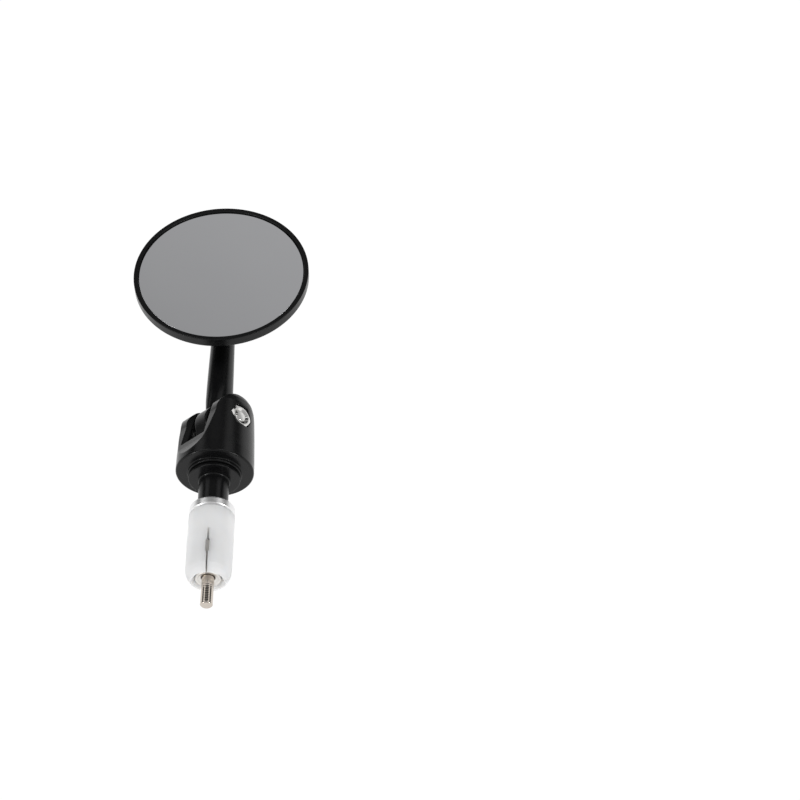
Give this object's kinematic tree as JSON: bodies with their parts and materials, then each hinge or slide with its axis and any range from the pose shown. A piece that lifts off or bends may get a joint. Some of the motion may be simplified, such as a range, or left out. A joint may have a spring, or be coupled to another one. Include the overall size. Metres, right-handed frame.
{
  "type": "bar-end mirror",
  "caption": "Round rear-view mirror on a folding arm with a ball joint and an expanding plug that clamps inside a tubular handlebar end.",
  "frame": {"origin": "centre of the flange face that seats against the handlebar end", "axes": "+Y along the bar axis and out towards the mirror, +Z square to the mirror glass, out of its face, as the part lies on a table"},
  "size_m": [0.0722, 0.1854, 0.0379],
  "materials": {
    "satin_black_metal": "satin black anodised aluminium",
    "stainless_steel": "bright stainless steel",
    "white_nylon": "natural white nylon, slightly translucent",
    "black_nylon": "black nylon",
    "foam_tape": "double-sided foam tape",
    "mirror_glass": "silvered glass"
  },
  "bodies": {
    "plug": {"stem_spacer": "satin_black_metal", "friction_washer": "black_nylon", "upper_cone": "stainless_steel", "expander_sleeve": "white_nylon"},
    "clamp_bolt": {"main_bolt": "stainless_steel", "main_bolt_washer": "stainless_steel"},
    "draw_cone": {"cone_nut": "stainless_steel"},
    "clevis": {"clevis": "satin_black_metal", "pivot_screw": "stainless_steel", "pivot_nut": "stainless_steel"},
    "arm": {"arm_rod": "satin_black_metal", "ball_stud": "stainless_steel", "pivot_washer_left": "stainless_steel", "pivot_washer_right": "stainless_steel"},
    "ball_seat": {"ball_seat": "white_nylon"},
    "head": {"ball_retainer": "satin_black_metal", "ball_barrel": "satin_black_metal", "pressure_pad": "black_nylon", "barrel_set_screw": "stainless_steel", "mirror_housing": "satin_black_metal", "housing_screw": "stainless_steel", "adhesive_pad": "foam_tape", "mirror_glass": "mirror_glass"}
  },
  "joints": [
    {"name": "bolt_turn", "type": "hinge", "parent": "plug", "child": "clamp_bolt", "pos_m": [0, 0, 0], "axis": [0, -1, 0], "range_deg": [0, 360]},
    {"name": "cone_draw", "type": "slide", "parent": "plug", "child": "draw_cone", "axis": [0, 1, 0], "range_m": [0, 0.0008]},
    {"name": "bar_swivel", "type": "hinge", "parent": "plug", "child": "clevis", "pos_m": [0, 0, 0], "axis": [0, 1, 0], "continuous": true},
    {"name": "arm_fold", "type": "hinge", "parent": "clevis", "child": "arm", "pos_m": [0, 0.0249, 0], "axis": [0.7396, 0, 0.673], "range_deg": [-90, 90]},
    {"name": "head_nod", "type": "hinge", "parent": "arm", "child": "ball_seat", "pos_m": [0, 0.09, 0], "axis": [1, 0, 0], "range_deg": [-10, 10]},
    {"name": "head_spin", "type": "hinge", "parent": "ball_seat", "child": "head", "pos_m": [0, 0.09, 0], "axis": [0, 1, 0], "continuous": true}
  ],
  "couplings": [
    {"joint": "bolt_turn", "follows": "cone_draw", "rad_per_m": 7854}
  ]
}
